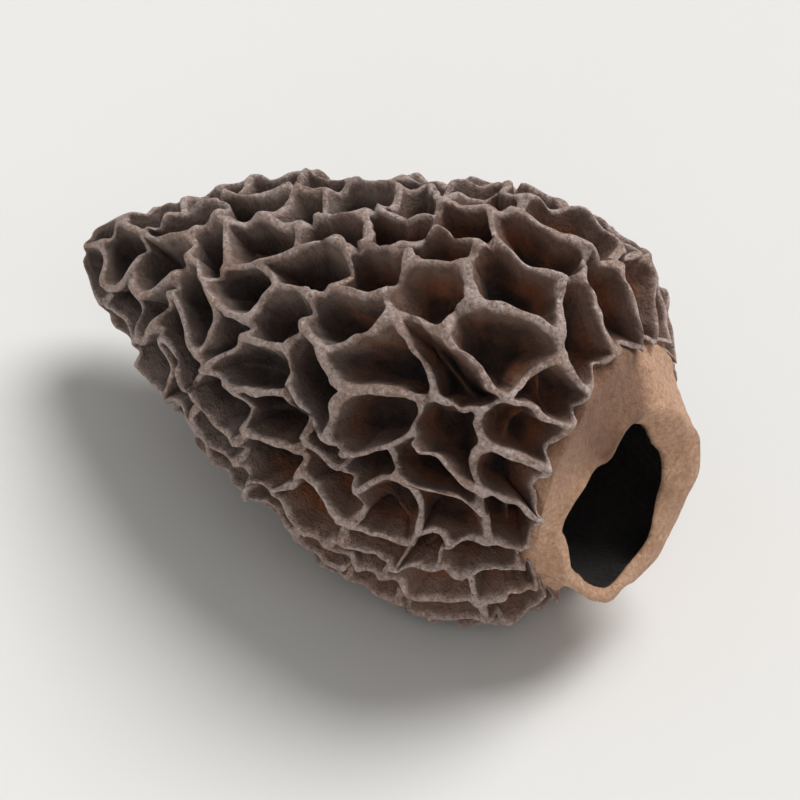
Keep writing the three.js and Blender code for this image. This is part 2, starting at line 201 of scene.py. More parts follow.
# Where the skin lies on the map, as shares of its sides.
CAP_MAP = (0.06, 0.88, 0.02, 0.62)  # left, width, bottom, height
STEM_MAP = (0.02, 0.78, 0.68, 0.30)
TIP_MAP = (0.9, 0.84, 0.07)  # middle and radius
RING_STRETCH = 1.5  # turns the mean change of a ring's coordinates into a length of wall
MIDDLE_LENGTH = 0.25  # millimetres kept for the middle of a pit's floor
HOLLOW_END_LENGTH = 0.008

# What each point knows of its place, for the material. The rim look also places a painted highlight, and
# the depth, inside and shaded-side looks place painted shade.
LOOKS = ("rim", "depth", "stem", "inside", "painted_side_shade")

# Colours of the flesh, as sRGB bytes. The pale rims carry a painted highlight, and the darker pit,
# shaded-side and hollow colours carry painted shade.
# Pale rim colours: partly the ridges' own paler flesh, partly a painted highlight along the crests.
RIM_GREY = (190, 170, 162)
RIM_BROWN = (172, 142, 126)
RIM_DARK_SPECK = (138, 115, 104)
RIM_PALE_SPECK = (214, 198, 190)
WALL_DARK = (106, 87, 78)
WALL_PALE = (148, 127, 116)
WALL_WARM = (128, 86, 62)
# Lower walls and pit floors: partly the flesh's own browner colour, partly painted shade that darkens
# them with depth.
SHADED_LOW_WALL_DARK = (78, 52, 40)
LOW_WALL_RUSTY = (140, 84, 52)
SHADED_LOW_WALL_COOL = (70, 54, 47)
SHADED_PIT_FLOOR_DARK = (34, 22, 16)
SHADED_PIT_FLOOR_PALE = (64, 39, 26)
STEM_TAN = (214, 170, 139)
STEM_DARK_SPECK = (192, 147, 116)
STEM_PALE_SPECK = (226, 194, 168)
STEM_STAIN = (158, 114, 86)
# Painted shade on the side of the stem past the fold.
SIDE_SHADE_PALE = (136, 96, 72)
SIDE_SHADE_DARK = (108, 73, 52)
# Painted shade: the hollow, the throat and the lip's inner side are coloured nearly black.
HOLLOW_SHADE_DARK = (14, 9, 6)
HOLLOW_SHADE_PALE = (30, 19, 13)

# Sizes of the flesh's patches and grains, in millimetres.
BROAD = 14
PATCH = 3.5
FINE = 0.9
MEAL = 0.42
GRAIN = 0.2
WARMTH_SLOPE = 12.0  # per metre: the flesh is warmer towards the stem

# Camera and light.
VIEW_AZIMUTH = math.radians(37)
VIEW_ELEVATION = math.radians(43)
VIEW_DISTANCE = 0.42
VIEW_SHIFT = (0.0044, -0.0015, -0.006)  # from the middle of the box to the middle of the picture
LENS = 214
KEY_FROM = (0.2, 0.6, 1.0)
KEY_STRENGTH = 2.75
KEY_SOFTNESS = math.radians(35)
FILL_FROM = (0.8, -0.5, 0.6)
FILL_STRENGTH = 0.45
FILL_SOFTNESS = math.radians(60)
SKY_STRENGTH = 0.28
FLOOR_RADIUS = 1.2
SWEEP_RADIUS = 0.8
SWEEP_STEPS = 12
SWEEP_SIDES = 64
FLOOR_PATCH = 60
FLOOR_DARK = (0.73, 0.72, 0.70, 1)
FLOOR_PALE = (0.76, 0.75, 0.73, 1)


class Draws:
    """Random numbers that are the same on every run, and the same as the part's."""

    def __init__(self, seed):
        self.state = seed

    def next(self):
        self.state = self.state * DRAW_FACTOR % DRAW_MODULUS
        return self.state / DRAW_MODULUS


draws = Draws(SEED)


def make_field(wavelength):
    """A smooth field from about -1 to 1: a sum of plane waves in random directions."""
    paces, phases = [], []
    for _ in range(NOISE_WAVES):
        z = 2 * draws.next() - 1
        turn = TURN * draws.next()
        pace = TURN / (wavelength * (1 + WAVE_SPREAD * (2 * draws.next() - 1)))
        flat = math.sqrt(1 - z * z)
        paces.append([flat * math.cos(turn) * pace, flat * math.sin(turn) * pace, z * pace])
        phases.append(TURN * draws.next())
    paces = np.array(paces)
    phases = np.array(phases)
    return lambda p: np.sin(p @ paces.T + phases).sum(-1) / math.sqrt(NOISE_WAVES)


lobes = make_field(LOBE_WAVE)
wander_round = make_field(WANDER_WAVE)
wander_along = make_field(WANDER_WAVE)
lean_round = make_field(LEAN_WAVE)
lean_along = make_field(LEAN_WAVE)
crest_rise = make_field(CREST_WAVE)

# The egg's outline, and its slope, at phi.
widest = (1 - math.sqrt(1 + 8 * CAP_TAPER * CAP_TAPER)) / (4 * CAP_TAPER)
outline_scale = CAP_RADIUS / (math.sqrt(1 - widest * widest) ** TIP_BLUNTNESS * (1 - CAP_TAPER * widest))


def outline(phi):
    """The skin's place along the axis and its radius, from the tip (0) to the far end (pi)."""
    phi = np.asarray(phi, float)
    x = CAP_FULL_LENGTH / 2 * (1 - np.cos(phi))
    r = outline_scale * np.abs(np.sin(phi)) ** TIP_BLUNTNESS * (1 - CAP_TAPER * np.cos(phi))
    return x, r


def slope(phi):
    """The skin's outward normal, as (along, out), and its length for each unit of phi."""
    x0, r0 = outline(phi - SLOPE_STEP)
    x1, r1 = outline(phi + SLOPE_STEP)
    length = np.hypot(x1 - x0, r1 - r0)
    return -(r1 - r0) / length, (x1 - x0) / length, length / (2 * SLOPE_STEP)


def make_tables():
    """Tables that turn phi into m and into the length of skin from the tip. One unit of m and
    one radian round the axis make a pit of the wanted elongation."""
    step = (TABLE_END - TABLE_START) / TABLE_STEPS
    phi = TABLE_START + np.arange(TABLE_STEPS + 1) * step
    middle = TABLE_START + (np.arange(1, TABLE_STEPS + 1) - 0.5) * step
    stretch = slope(middle)[2] * step
    m = np.concatenate([[0], np.cumsum(stretch / (PIT_ELONGATION * outline(middle)[1]))])
    length = np.concatenate([[0], np.cumsum(stretch)])
    return {"phi": phi, "m": m, "length": length}


tables = make_tables()


def look_up(source, value, target):
    """Reads one table at the place where another one has the value."""
    xs, ys = tables[source], tables[target]
    low = np.clip(np.searchsorted(xs, value, side="right") - 1, 0, TABLE_STEPS - 1)
    return ys[low] + (ys[low + 1] - ys[low]) * (value - xs[low]) / (xs[low + 1] - xs[low])


TIP_M = float(look_up("phi", TIP_PIT_PHI, "m"))
MARGIN_M = float(look_up("phi", MARGIN_PHI, "m"))


def radius_at(m):
    return outline(look_up("m", m, "phi"))[1]


def lay_down(x, y, z):
    """Slants the stem end, bends the mushroom's own axis, lays it down and puts the origin in place."""
    side = (y * math.cos(SLANT_TURN) + z * math.sin(SLANT_TURN)) / CAP_RADIUS
    slanted = x + SLANT * side * (x / CAP_FULL_LENGTH) ** SLANT_POWER
    past = np.maximum(0, x - STEM_BEND_X)
    bent = y - STEM_BEND * past * past
    sagged = z - STEM_SAG * past * past
    cos, sin = math.cos(LYING_TILT), math.sin(LYING_TILT)
    height = FLAT_DEPTH - REST_CUT + (slanted - FLAT_X) * sin + sagged * cos
    return np.stack([
        FLAT_X + (slanted - FLAT_X) * cos - sagged * sin - CENTRE_X,
        bent - CENTRE_Y,
        np.maximum(0, height),
    ], -1)


def place_seeds():
    """Seeds of the pits: staggered rows from the tip to the margin, each seed shaken a little."""
    start = look_up("phi", TIP_PIT_PHI, "length")
    end = look_up("phi", MARGIN_PHI, "length")
    rows = math.floor((end - start) / PIT_LENGTH + 0.5)
    seeds = []
    for row in range(rows):
        middle = start + (row + 0.5) * (end - start) / rows
        radius = float(outline(look_up("length", middle, "phi"))[1])
        count = max(LEAST_PITS_IN_ROW, math.floor(TURN * radius / PIT_WIDTH + 0.5))
        for k in range(count):
            shake_round = PIT_JITTER * (draws.next() - 0.5)
            shake_along = PIT_JITTER * (draws.next() - 0.5) * PIT_LENGTH
            u = TURN * (k + 0.5 * (row % 2) + shake_round) / count
            seeds.append((u, float(look_up("length", middle + shake_along, "m"))))
    return seeds


def clip(polygon, a, b, c, side):
    """Keeps the part of a polygon where a * u + b * v <= c."""
    kept = []
    for i, p in enumerate(polygon):
        q = polygon[(i + 1) % len(polygon)]
        dp = a * p[0] + b * p[1] - c
        dq = a * q[0] + b * q[1] - c
        if dp <= 0:
            kept.append(p)
        if (dp <= 0) != (dq <= 0):
            t = dp / (dp - dq)
            cut_side = side if dp <= 0 else p[2]
            kept.append((p[0] + (q[0] - p[0]) * t, p[1] + (q[1] - p[1]) * t, cut_side))
    return kept


def cell_of(seed, seeds):
    """The cell of one seed: all that is nearer to it than to any other seed."""
    u, v = seed
    polygon = [
        (u - math.pi, TIP_M, "tip"),
        (u + math.pi, TIP_M, "cell"),
        (u + math.pi, MARGIN_M, "margin"),
        (u - math.pi, MARGIN_M, "cell"),
    ]
    for other in seeds:
        for turn in (-TURN, 0, TURN):
            du = other[0] + turn - u
            dv = other[1] - v
            if du == 0 and dv == 0:
                continue
            middle = du * (u + du / 2) + dv * (v + dv / 2)
            polygon = clip(polygon, du, dv, middle, "cell")
    return polygon


def wrap(angle):
    """The same angle, between minus and plus half a turn."""
    return angle - TURN * np.floor(angle / TURN + 0.5)


def bulge(t):
    """0 at both ends of a stretch and 1 in its middle."""
    return 4 * t * (1 - t)


def waves(u, parts):
    """A sum of waves round the axis, each given as (waves in a turn, phase, size)."""
    return sum(size * np.sin(count * u + phase) for count, phase, size in parts)


def gap_between(p, q):
    """How far apart two points of the skin are."""
    r = float(radius_at((p[1] + q[1]) / 2))
    return math.hypot(wrap(q[0] - p[0]) * r, (q[1] - p[1]) * PIT_ELONGATION * r)


class Net:
    """The shared crests of the ridges: junctions, and fine points from one to the next."""

    def __init__(self):
        self.points = []  # u, v, depth
        self.junctions = []
        self.ridges = {}
        self.edges = {"tip": [], "margin": []}

    def add(self, u, v, depth):
        """Adds a point and gives its number."""
        self.points.append((u, v, depth))
        return len(self.points) - 1

    def junction_at(self, corner):
        """The junction at a corner; corners too close for a ridge between them share one."""
        for i in self.junctions:
            if gap_between(self.points[i], corner) < SHORTEST_RIDGE:
                return i
        i = self.add(corner[0], corner[1], 0)
        self.junctions.append(i)
        return i

    def ridge_between(self, a, b):
        """The points of a ridge from junction a to b, which the cells on both sides share."""
        first, last = min(a, b), max(a, b)
        if (first, last) not in self.ridges:
            p, q = self.points[first], self.points[last]
            length = gap_between(p, q)
            du = wrap(q[0] - p[0])
            dv = q[1] - p[1]
            round_share = du * float(radius_at((p[1] + q[1]) / 2)) / length
            sag = RIDGE_SAG + CROSS_RIDGE_SAG * round_share * round_share
            bow = RIDGE_BOW * (2 * draws.next() - 1)
            count = max(LEAST_RIDGE_STEPS, round(length / RIDGE_STEP))
            ids = []
            for i in range(1, count):
                t = i / count
                u = p[0] + du * t - bow * bulge(t) * dv * PIT_ELONGATION
                v = p[1] + dv * t + bow * bulge(t) * du / PIT_ELONGATION
                ids.append(self.add(u, v, sag * math.sin(math.pi * t) ** 2))
            self.ridges[(first, last)] = ids
        ids = self.ridges[(first, last)]
        return ids if a < b else ids[::-1]

    def crest_loop(self, polygon):
        """The points round one cell; those on the tip's or the margin's edge are noted."""
        corners = [self.junction_at(corner) for corner in polygon]
        loop = []
        for i, corner in enumerate(polygon):
            start = corners[i]
            end = corners[(i + 1) % len(corners)]
            if start == end:
                continue
            stretch = [start] + self.ridge_between(start, end)
            loop += stretch
            if corner[2] != "cell":
                self.edges[corner[2]] += stretch + [end]
        return loop

    def in_order(self, edge):
        """Points of an edge loop once each, in order round the axis."""
        turned = {i: self.points[i][0] % TURN for i in self.edges[edge]}
        return sorted(turned, key=turned.get)


class Surface:
    """Collects points, faces, the looks of each point and each face's place on the map."""

    def __init__(self):
        self.points = []
        self.looks = []
        self.faces = []
        self.places = []
        self.count = 0

    def add(self, points, rim=0.0, depth=0.0, stem=0.0, inside=0.0, painted_side_shade=0.0):
        """Adds points with their looks and gives their numbers."""
        n = len(points)
        self.points.append(points)
        looks = [np.broadcast_to(value, n) for value in (rim, depth, stem, inside, painted_side_shade)]
        self.looks.append(np.stack(looks, -1))
        self.count += n
        return np.arange(self.count - n, self.count)

    def join(self, outer, inner, outer_place, inner_place):
        """Quads between two closed rings of as many points."""
        after = np.roll(np.arange(len(outer)), -1)
        self.faces += np.stack([outer, outer[after], inner[after], inner], -1).tolist()
        corners = np.stack([outer_place[:-1], outer_place[1:], inner_place[1:], inner_place[:-1]], 1)
        self.places.append(corners.reshape(-1, 2))

    def fan(self, ring, tip, ring_place, tip_place):
        """Triangles from a closed ring to one point."""
        after = np.roll(np.arange(len(ring)), -1)
        tips = np.full(len(ring), tip)
        self.faces += np.stack([ring, ring[after], tips], -1).tolist()
        tip_places = np.broadcast_to(tip_place, (len(ring), 2))
        corners = np.stack([ring_place[:-1], ring_place[1:], tip_places], 1)
        self.places.append(corners.reshape(-1, 2))


def closed(ring):
    """A ring of places with its first one repeated at the end."""
    return np.vstack([ring, ring[:1]])


surface = Surface()
net = Net()
seeds = place_seeds()
crest_loops = [net.crest_loop(cell_of(seed, seeds)) for seed in seeds]
net_points = np.array(net.points)

crinkle_fields = [make_field(CRINKLE[0]), make_field(CRINKLE[0])]
fine_crinkle_fields = [make_field(FINE_CRINKLE[0]), make_field(FINE_CRINKLE[0])]
rim_rise = make_field(RIM_RISE[0])
wall_fields = [make_field(WALL_WAVE[0]), make_field(WALL_WAVE[0])]
floor_field = make_field(FLOOR_WAVE[0])
stem_wrinkle = make_field(STEM_WRINKLE[0])
stem_grain = make_field(STEM_GRAIN[0])


def cap_raw(theta, m, depth, lean, wall):
    """Skin points, sunk by depth, before the mushroom is laid down. Lean is 1 on a crest and
    0 on a floor; wall is 1 half way down a pit and 0 at its rim and floor."""
    x0, r0 = outline(look_up("m", m, "phi"))
    p = np.stack([x0, r0 * np.cos(theta), r0 * np.sin(theta)], -1)
    calm = np.minimum(1, r0 / FULL_DEPTH_RADIUS)
    shifts = []
    for k, (wander, leaning) in enumerate([(wander_round, lean_round), (wander_along, lean_along)]):
        crinkle = CRINKLE[1] * crinkle_fields[k](p) + FINE_CRINKLE[1] * fine_crinkle_fields[k](p)
        crinkle = crinkle * (1 + CRINKLE_SPREAD * crest_rise(p))
        wall_waves = WALL_WAVE[1] * wall_fields[k](p) * wall
        leans = lean * (LEAN * leaning(p) + crinkle)
        shifts.append(calm * (WANDER * wander(p) + leans + wall_waves))
    turned = theta + shifts[0] / r0
    phi = look_up("m", m + shifts[1] / (PIT_ELONGATION * r0), "phi")
    x, r = outline(phi)
    nx, nr, _ = slope(phi)
    radius = r * (1 + LOBE_SHARE * lobes(p)) + lean * calm * CREST_RISE * crest_rise(p)
    down = np.maximum(0, -np.sin(turned))
    flat = FLAT_DEPTH + (x - FLAT_X) * math.tan(LYING_TILT)
    radius = radius / (1 + (radius * down / flat) ** FLAT_SHARPNESS) ** (1 / FLAT_SHARPNESS)
    depth = depth + RIM_RISE[1] * lean * lean * rim_rise(p)
    sunk = radius - nr * depth * calm
    return np.stack([x - nx * depth * calm, sunk * np.cos(turned), sunk * np.sin(turned)], -1)


def laid(raw):
    """Raw points, laid down."""
    return lay_down(raw[..., 0], raw[..., 1], raw[..., 2])


def smooth_loop(flat, width):
    """A closed loop of points, averaged along its own length."""
    steps = np.linalg.norm(np.roll(flat, -1, 0) - flat, axis=1)
    along = np.concatenate([[0], np.cumsum(steps)[:-1]])
    total = steps.sum()
    apart = np.abs(along[:, None] - along[None, :])
    apart = np.minimum(apart, total - apart)
    share = (steps + np.roll(steps, 1)) / 2
    weights = np.exp(-0.5 * (apart / width) ** 2) * share[None, :]
    return weights @ flat / weights.sum(1)[:, None]


def inset(flat, distance):
    """The loop moved in along its normals, never quite as far as its middle."""
    tangent = np.roll(flat, -1, 0) - np.roll(flat, 1, 0)
    inward = np.stack([-tangent[:, 1], tangent[:, 0]], -1)
    inward /= np.linalg.norm(inward, axis=1)[:, None]
    reach = np.linalg.norm(flat, axis=1)
    home = -flat / reach[:, None]
    way = inward + home
    way /= np.linalg.norm(way, axis=1)[:, None]
    limit = INSET_LIMIT * reach
    return flat + way * (limit * (1 - np.exp(-distance / limit)))[:, None]


def cell_place(u, v):
    """Where a point of the cap's skin lies on the map."""
    left, width, bottom, height = CAP_MAP
    along = (v - TIP_M) / (MARGIN_M - TIP_M)
    return np.stack([left + width * u / TURN, bottom + height * along], -1)


def make_flutes(steps):
    """Small waves round the wall of a pit, from the lengths of the steps round it."""
    round_share = TURN * np.cumsum(steps) / steps.sum()
    flutes = np.zeros(len(steps))
    for rate in FLUTE_RATES:
        count = max(FEWEST_FLUTES, round(steps.sum() / FLUTE_SPACING * rate))
        flutes += np.sin(count * round_share + TURN * draws.next()) / 2
    return flutes


def pit_rings(flat, flutes):
    """Flat rings of a pit from its crest to the middle of its floor, and their depths."""
    rings, depths = [], []
    size = math.sqrt(np.abs(flat).max())
    for distance, depth in RIDGE_SECTION:
        share = min(1, distance / RIM_ROUNDING)
        fluting = min(1, depth / RIM_FADE) * math.sqrt(1 - depth / FINE_PIT_DEPTH)
        width = RIM_ROUNDING + (FLOOR_ROUNDING - RIM_ROUNDING) * depth / FINE_PIT_DEPTH
        width = min(width, SMALL_PIT_ROUNDING * size) * share ** ROUNDING_ONSET
        rings.append(inset(smooth_loop(flat, width), distance + FLUTE_SIZE * fluting * flutes))
        depths.append(depth)
    edge, edge_depth = rings[-1], depths[-1]
    middle = edge.mean(0)
    for share in FLOOR_SHARES:
        rings.append(middle + (edge - middle) * share)
        depths.append(edge_depth + (FINE_PIT_DEPTH - edge_depth) * (1 - share * share))
    rings.append(middle[None, :])
    depths.append(FINE_PIT_DEPTH)
    return rings, depths


def map_reach(flat, rings, depths):
    """How far from the middle of its pit each ring lies on the map, by the length of the wall."""
    lengths = [0.0]
    before, depth_before = flat, 0
    for ring, depth in zip(rings[:-1], depths[:-1]):
        lengths.append(math.hypot(np.abs(ring - before).mean() * RING_STRETCH, depth - depth_before))
        before, depth_before = ring, depth
    lengths = np.cumsum(lengths)
    return 1 - lengths / (lengths[-1] + MIDDLE_LENGTH)


def build_pit(seed, loop):
    """One pit, from the loop of crests round it to the middle of its floor."""
    ids = np.array(loop)
    u = seed[0] + wrap(net_points[ids, 0] - seed[0])
    v = net_points[ids, 1]
    sag = net_points[ids, 2]
    centre = np.array([u.mean(), v.mean()])
    r = float(radius_at(centre[1]))
    flat = np.stack([(u - centre[0]) * r, (v - centre[1]) * PIT_ELONGATION * r], -1)
    deepness = 1 + PIT_DEPTH_SPREAD * (2 * draws.next() - 1)
    has_rib = draws.next() < RIB_SHARE
    rib_turn = math.pi * draws.next()
    rib_offset = RIB_OFFSET * (draws.next() - 0.5)
    rib_height = RIB_HEIGHT * (0.5 + 0.5 * draws.next()) if has_rib else 0

    steps = np.linalg.norm(np.roll(flat, -1, 0) - flat, axis=1)
    rings, depths = pit_rings(flat, make_flutes(steps))
    reach = map_reach(flat, rings, depths)
    home = cell_place(*centre)
    border = cell_place(u, v)
    last_ids, last_place = ids, closed(border)
    for k, (ring, depth) in enumerate(zip(rings, depths)):
        follow = max(0, 1 - depth / FOOT_DEPTH)
        lean = np.full(len(ring), follow ** LEAN_POWER)
        wall = np.full(len(ring), bulge(depth / FINE_PIT_DEPTH))
        uu = centre[0] + ring[:, 0] / r
        vv = centre[1] + ring[:, 1] / (PIT_ELONGATION * r)
        down = depth * (1 + (deepness - 1) * depth / FINE_PIT_DEPTH)
        low = np.full(len(ring), float(down))
        if len(ring) > 1:
            low += follow * sag
        low_share = min(1, depth / RIDGE_SECTION[-1][1])
        x0, r0 = outline(look_up("m", vv, "phi"))
        skin = np.stack([x0, r0 * np.cos(uu), r0 * np.sin(uu)], -1)
        low += FLOOR_WAVE[1] * floor_field(skin) * low_share ** FLOOR_WAVE_ONSET
        across = ring[:, 0] * math.sin(rib_turn) - ring[:, 1] * math.cos(rib_turn) - rib_offset
        rib = rib_height * np.exp(-(across / RIB_WIDTH) ** 2) * low_share ** RIB_ONSET
        low -= rib
        points = laid(cap_raw(uu, vv, low, lean, wall))
        # The pale rim is partly the ridge's own colour and partly a painted highlight along the crest;
        # the depth look also drives painted shade low in the pit.
        rim = np.maximum(max(0, 1 - depth / RIM_FADE) ** 2, RIB_PALENESS * rib / RIB_HEIGHT)
        new_ids = surface.add(points, rim=rim, depth=np.clip(low / FINE_PIT_DEPTH, 0, 1))
        if len(ring) == 1:
            surface.fan(last_ids, new_ids[0], last_place, home)
        else:
            place = closed(home + (border - home) * reach[k + 1])
            surface.join(last_ids, new_ids, last_place, place)
            last_ids, last_place = new_ids, place


def build_tip_pit(ids):
    """The pit at the very tip, inside the loop of crests round it."""
    ids = np.array(ids)
    theta = net_points[ids, 0]
    calm = min(1, float(outline(TIP_PIT_PHI)[1]) / FULL_DEPTH_RADIUS)
    crest = crest_raw[ids]
    home = np.array(TIP_MAP[:2])

    def place_at(share):
        ring = home + TIP_MAP[2] * share * np.stack([np.cos(theta), np.sin(theta)], -1)
        return closed(ring)

    last_ids, last_place = ids, place_at(1)
    for share in TIP_SHARES:
        x, r = outline(TIP_PIT_PHI * share)
        dip = PIT_DEPTH * calm * (1 - share ** TIP_BOWL_POWER)
        own = np.stack([np.full(len(ids), x + dip), r * np.cos(theta), r * np.sin(theta)], -1)
        pull = min(1, (1 - share) / TIP_BLEND)
        raw = crest * [1, share, share] * (1 - pull) + own * pull
        raw[:, 0] += (1 - pull) * dip
        new_ids = surface.add(laid(raw), rim=max(0, 1 - (1 - share) / TIP_RIM), depth=1 - share)
        surface.join(new_ids, last_ids, place_at(share), last_place)
        last_ids, last_place = new_ids, place_at(share)
    bottom = surface.add(laid(np.array([[PIT_DEPTH * calm, 0, 0]])), depth=1.0)
    surface.fan(last_ids[::-1], bottom[0], closed(last_place[-2::-1]), home)


def mouth_x(u, margin_x):
    """How far the torn end of the stem reaches along the axis."""
    slant = MOUTH_SLANT * np.cos(u - MOUTH_SLANT_TURN)
    return margin_x + STEM_LENGTH + slant + MOUTH_RAGGEDNESS * waves(u, MOUTH_WAVES)


def base_inside(margin, u):
    """The stem's radius at its base: a mean of the margin's radii near u in which the smallest
    ones count most, so that the stem starts inside the margin all round."""
    high = margin[:, 2] / STEM_FLATNESS
    turns = np.arctan2(high, margin[:, 1])
    radii = np.hypot(margin[:, 1], high)
    weights = np.exp(-(wrap(u[:, None] - turns[None, :]) / BASE_REACH) ** 2)
    mean = (weights * radii[None, :] ** -BASE_CAUTION).sum(1) / weights.sum(1)
    return mean ** (-1 / BASE_CAUTION) - BASE_INSET


def build_stem_and_hollow(ids):
    """The stem stub from the cap's margin to its torn mouth, and the hollow to the tip."""
    ids = np.array(ids)
    u = net_points[ids, 0] % TURN
    margin_x = float(outline(MARGIN_PHI)[0])
    lip_share = (1 + np.cos(u - LIP_TURN)) / 2
    dent = DENT * np.exp(-(wrap(u - DENT_TURN) / DENT_WIDTH) ** 2)
    wrinkles = WRINKLE * waves(u, WRINKLE_WAVES)
    past_fold = wrap(u - FOLD_TURN)
    fold = FOLD_HEIGHT * np.exp(-np.abs(past_fold) / FOLD_WIDTH)
    # Painted shade on the side of the stem past the fold.
    painted_side_shade = np.clip(past_fold / FOLD_WIDTH, 0, 1) * np.clip(2 - 2 * past_fold / SIDE_SHADE_REACH, 0, 1)
    margin = crest_raw[ids]
    base_radius = base_inside(margin, u)

    def ring_at(x, r, flatness=STEM_FLATNESS):
        x = np.broadcast_to(x, len(u))
        return np.stack([x, r * np.cos(u), r * flatness * np.sin(u)], -1)

    def stem_ring(share, flesh, lip):
        """A ring of the stem, moved in by a thickness of flesh, and further at the lip."""
        x = (1 - share) * (margin_x - GROOVE) + share * mouth_x(u, margin_x)
        radius = base_radius + (STEM_MOUTH_RADIUS - base_radius) * share ** STEM_TAPER_POWER
        r = radius * (1 - dent * share) + wrinkles * share + LIP_FLARE * lip_share * share ** 4
        r = r + fold * bulge(share)
        lip = lip * lip_share ** 2
        x = x - LIP_BEVEL * lip
        r = r - flesh - LIP_THICKNESS * lip
        ring = ring_at(x, r)
        wrinkled = STEM_WRINKLE[1] * stem_wrinkle(ring * STEM_WRINKLE_SCALE)
        return ring_at(x, r + wrinkled + STEM_GRAIN[1] * stem_grain(ring))

    rows = []  # raw ring, rim, depth, stem, inside
    base = stem_ring(0, 0, 0)
    inward = np.array([margin_x, 0, 0]) - margin
    inward[:, 0] = 0
    inward /= np.linalg.norm(inward, axis=1)[:, None]
    gap = np.linalg.norm((margin - base)[:, 1:], axis=1)[:, None]
    dip = -UNDERCUT * np.minimum(1, gap) * [1, 0, 0]
    first_handle = margin + inward * gap * UNDERSIDE_CURVE[0] + dip
    last_handle = base - inward * gap * UNDERSIDE_CURVE[1] + dip
    for k in range(1, UNDERSIDE_RINGS):
        t = k / UNDERSIDE_RINGS
        ring = ((1 - t) ** 3 * margin + 3 * t * (1 - t) ** 2 * first_handle
                + 3 * t * t * (1 - t) * last_handle + t ** 3 * base)
        rows.append((ring, max(0, 1 - 5 * t), 0.3, t ** 0.6, 0))
    for k in range(STEM_RINGS):
        rows.append((stem_ring(k / STEM_RINGS, 0, 0), 0, 0, 1, 0))
    for k in range(LIP_RINGS + 1):
        t = k / LIP_RINGS
        ring = stem_ring(1, FLESH * t, t)
        ring[:, 0] += LIP_BULGE * math.sin(math.pi * t) ** 0.6
        rows.append((ring, 0, 0, 1, LIP_SHADE_SHARE * t))
    for k in range(1, THROAT_RINGS + 1):
        t = k / THROAT_RINGS
        flesh = FLESH * (1 - THROAT_WIDENING * math.sin(math.pi * t))
        ring = stem_ring(1 - (1 - THROAT_SHARE) * t, flesh, (1 - t) ** 3)
        rows.append((ring, 0, 0.3, 1, THROAT_SHADE_SHARES[0] + (THROAT_SHADE_SHARES[1] - THROAT_SHADE_SHARES[0]) * t))
    for k in range(HOLLOW_RINGS):
        t = k / (HOLLOW_RINGS - 1)
        phi = HOLLOW_END_PHI + (HOLLOW_START_PHI - HOLLOW_END_PHI) * t
        x, r = outline(phi)
        nx, nr, _ = slope(phi)
        sunk = PIT_DEPTH * min(1, r / FULL_DEPTH_RADIUS) + FLESH
        round_radius = min(r - nr * sunk, FLAT_DEPTH - sunk) * HOLLOW_ROUNDING
        ring = ring_at(x - nx * sunk, round_radius, HOLLOW_ROUNDING)
        rough = STEM_WRINKLE[1] * stem_wrinkle(ring * HOLLOW_WRINKLE_SCALE)
        ring = ring_at(x - nx * sunk, round_radius + rough, HOLLOW_ROUNDING)
        rows.append((ring, 0, 0.5, 1, HOLLOW_SHADE_SHARES[0] + (HOLLOW_SHADE_SHARES[1] - HOLLOW_SHADE_SHARES[0]) * t))

    left, width, bottom, height = STEM_MAP
    across = left + width * np.append(u, u[0] + TURN) / TURN
    last_ids = ids
    last_place = np.stack([across, np.full(len(across), bottom)], -1)
    for k, (ring, rim, depth, stem, inside) in enumerate(rows):
        new_ids = surface.add(laid(ring), rim, depth, stem, inside, painted_side_shade)
        along = bottom + height * (k + 1) / len(rows)
        place = np.stack([across, np.full(len(across), along)], -1)
        surface.join(last_ids, new_ids, last_place, place)
        last_ids, last_place = new_ids, place
    end_x = float(outline(HOLLOW_START_PHI)[0]) - FLESH
    tip = surface.add(laid(np.array([[end_x, 0, 0]])), depth=0.5, stem=1, inside=1)
    surface.fan(last_ids, tip[0], last_place, last_place[:-1] + [0, HOLLOW_END_LENGTH])


crest_raw = cap_raw(*net_points.T, np.ones(len(net_points)), np.zeros(len(net_points)))
surface.add(laid(crest_raw), rim=1.0, depth=0.0)
for seed, loop in zip(seeds, crest_loops):
    build_pit(seed, loop)
build_tip_pit(net.in_order("tip"))
build_stem_and_hollow(net.in_order("margin"))


def make_mesh_object(name):
    """Turns the collected surface into one smooth-shaded object in metres."""
    mesh = bpy.data.meshes.new(name)
    mesh.from_pydata((np.vstack(surface.points) * MM).tolist(), [], surface.faces)
    mesh.shade_smooth()
    looks = np.vstack(surface.looks)
    for k, look in enumerate(LOOKS):
        attribute = mesh.attributes.new(look, "FLOAT", "POINT")
        attribute.data.foreach_set("value", looks[:, k].astype(np.float32))
    layer = mesh.uv_layers.new(name="OFBake")
    layer.data.foreach_set("uv", np.vstack(surface.places).astype(np.float32).ravel())
    obj = bpy.data.objects.new(name, mesh)
    bpy.context.scene.collection.objects.link(obj)
    return obj


